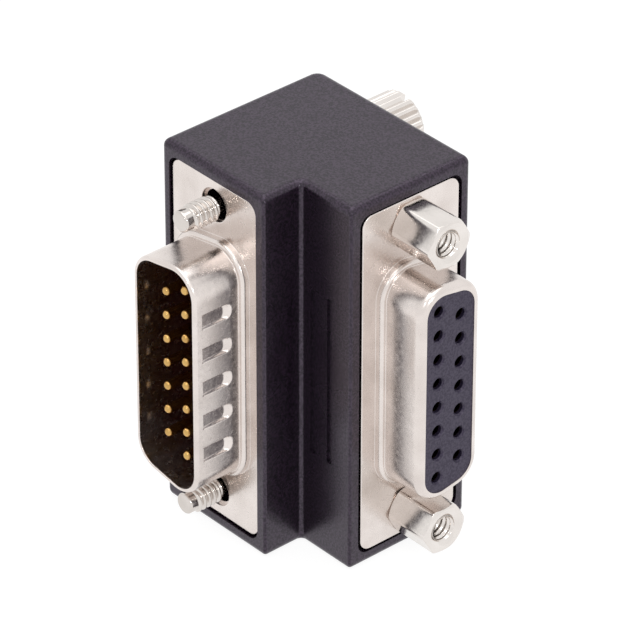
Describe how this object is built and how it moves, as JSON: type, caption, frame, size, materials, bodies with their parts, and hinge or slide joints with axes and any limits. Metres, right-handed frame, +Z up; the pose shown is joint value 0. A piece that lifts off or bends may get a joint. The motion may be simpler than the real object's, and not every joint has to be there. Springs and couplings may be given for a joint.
{
  "type": "right-angle D-sub adapter",
  "caption": "Right-angle D-sub adapter: plug shell with pins on one face, socket shell on the next, black moulded L-shaped housing, captive thumbscrews and hexagonal jack sockets.",
  "frame": {"origin": "on the base face, straight under the crossing of the plug's and the socket's mid planes", "axes": "+Z up along the contact rows, the plug faces -Y, the socket faces +X"},
  "size_m": [0.0283, 0.0314, 0.0423],
  "materials": {
    "housing_black": "fine grained satin",
    "insulator_black": "satin",
    "shell_nickel": "satin nickel plate",
    "screw_nickel": "bright nickel plate",
    "contact_gold": "gold plate",
    "link_copper": "tinned copper"
  },
  "bodies": {
    "adapter": {"housing": "housing_black", "male_front_shell": "shell_nickel", "male_rear_shell": "shell_nickel", "male_insulator": "insulator_black", "female_front_shell": "shell_nickel", "female_rear_shell": "shell_nickel", "female_insulator": "insulator_black", "upper_jack_socket": "screw_nickel", "lower_jack_socket": "screw_nickel", "upper_jack_nut": "screw_nickel", "lower_jack_nut": "screw_nickel", "male_pin_01": "contact_gold", "male_pin_02": "contact_gold", "male_pin_03": "contact_gold", "male_pin_04": "contact_gold", "male_pin_05": "contact_gold", "male_pin_06": "contact_gold", "male_pin_07": "contact_gold", "male_pin_08": "contact_gold", "male_pin_09": "contact_gold", "male_pin_10": "contact_gold", "male_pin_11": "contact_gold", "male_pin_12": "contact_gold", "male_pin_13": "contact_gold", "male_pin_14": "contact_gold", "male_pin_15": "contact_gold", "female_contact_01": "contact_gold", "female_contact_02": "contact_gold", "female_contact_03": "contact_gold", "female_contact_04": "contact_gold", "female_contact_05": "contact_gold", "female_contact_06": "contact_gold", "female_contact_07": "contact_gold", "female_contact_08": "contact_gold", "female_contact_09": "contact_gold", "female_contact_10": "contact_gold", "female_contact_11": "contact_gold", "female_contact_12": "contact_gold", "female_contact_13": "contact_gold", "female_contact_14": "contact_gold", "female_contact_15": "contact_gold", "link_01": "link_copper", "link_02": "link_copper", "link_03": "link_copper", "link_04": "link_copper", "link_05": "link_copper", "link_06": "link_copper", "link_07": "link_copper", "link_08": "link_copper", "link_09": "link_copper", "link_10": "link_copper", "link_11": "link_copper", "link_12": "link_copper", "link_13": "link_copper", "link_14": "link_copper", "link_15": "link_copper"},
    "upper_thumbscrew": {"upper_thumbscrew": "screw_nickel"},
    "lower_thumbscrew": {"lower_thumbscrew": "screw_nickel"}
  },
  "joints": [
    {"name": "upper_thumbscrew_turn", "type": "hinge", "parent": "adapter", "child": "upper_thumbscrew", "pos_m": [0, 0, 0.03775], "axis": [0, -1, 0], "continuous": true},
    {"name": "lower_thumbscrew_turn", "type": "hinge", "parent": "adapter", "child": "lower_thumbscrew", "pos_m": [0, 0, 0.00455], "axis": [0, -1, 0], "continuous": true}
  ]
}
